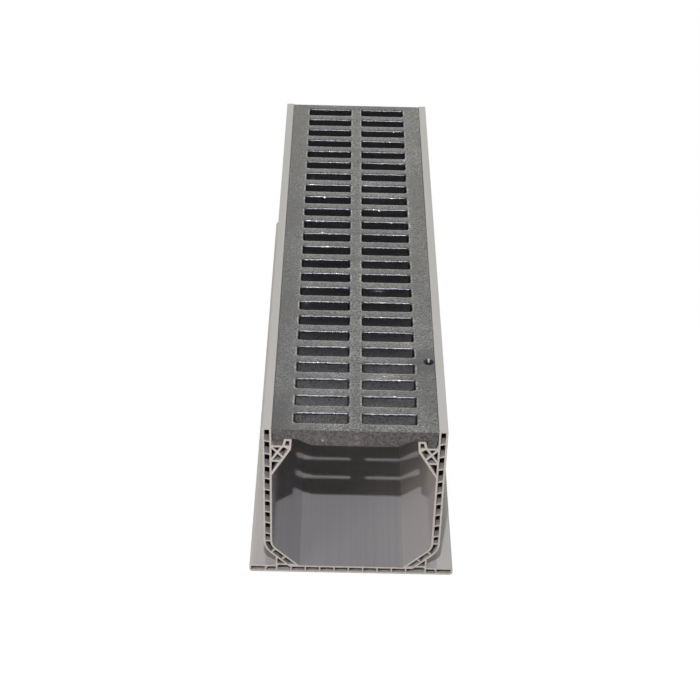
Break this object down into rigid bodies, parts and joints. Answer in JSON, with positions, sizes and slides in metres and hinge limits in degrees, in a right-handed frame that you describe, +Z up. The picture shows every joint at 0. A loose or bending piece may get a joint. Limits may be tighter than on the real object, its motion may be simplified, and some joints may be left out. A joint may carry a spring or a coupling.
{
  "type": "channel drain with slotted grate",
  "caption": "Straight length of twin-wall extruded plastic drain channel with flanged base and ribbed hollow walls, closed by a flush drop-in slotted grate that lets surface water in.",
  "frame": {"origin": "centre of the channel's underside, halfway along its length", "axes": "+X across the channel, +Y along it away from the front cut end, +Z up out of the grate"},
  "size_m": [0.156, 0.496, 0.1415],
  "materials": {
    "channel_plastic": "matt extruded plastic, light warm grey",
    "grate_plastic": "matt moulded plastic, charcoal grey"
  },
  "bodies": {
    "root": {"drain_channel": "channel_plastic", "slotted_grate": "grate_plastic"}
  },
  "joints": []
}
